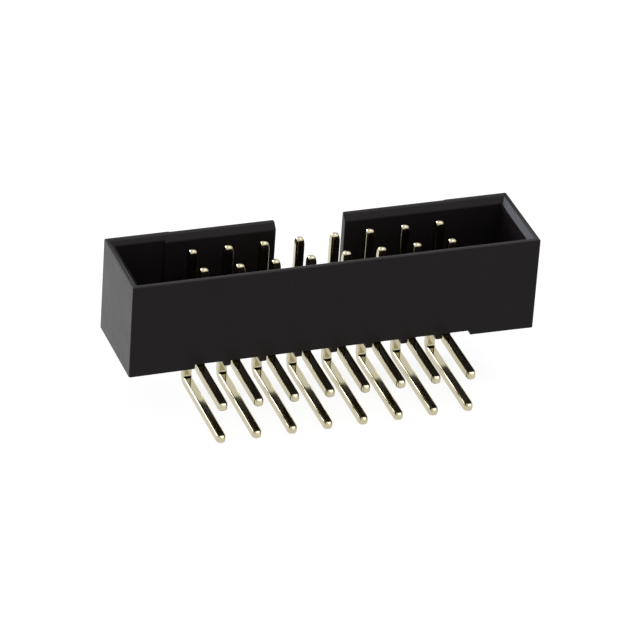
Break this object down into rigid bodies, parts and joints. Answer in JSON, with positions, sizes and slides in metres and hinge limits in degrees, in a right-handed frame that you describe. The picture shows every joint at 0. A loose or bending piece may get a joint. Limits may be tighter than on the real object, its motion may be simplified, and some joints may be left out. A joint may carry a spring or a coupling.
{
  "type": "idc box header",
  "caption": "Right-angle box header for flat ribbon cable: a plastic shroud with a key slot around a double row of bent square contacts.",
  "frame": {"origin": "under the middle of the part's box, level with the underside of the long solder tails", "axes": "+Z out of the socket, towards the plug; +X along the header, towards contact 1; -Y towards the circuit board"},
  "size_m": [0.023, 0.0082, 0.0086],
  "materials": {
    "black_plastic": "moulded glass-filled PBT, satin black",
    "gold_plate": "bright flash gold plating on brass wire"
  },
  "bodies": {
    "root": {"housing": "black_plastic", "long_contact_1": "gold_plate", "long_contact_2": "gold_plate", "long_contact_3": "gold_plate", "long_contact_4": "gold_plate", "long_contact_5": "gold_plate", "long_contact_6": "gold_plate", "long_contact_7": "gold_plate", "long_contact_8": "gold_plate", "short_contact_1": "gold_plate", "short_contact_2": "gold_plate", "short_contact_3": "gold_plate", "short_contact_4": "gold_plate", "short_contact_5": "gold_plate", "short_contact_6": "gold_plate", "short_contact_7": "gold_plate", "short_contact_8": "gold_plate"}
  },
  "joints": []
}
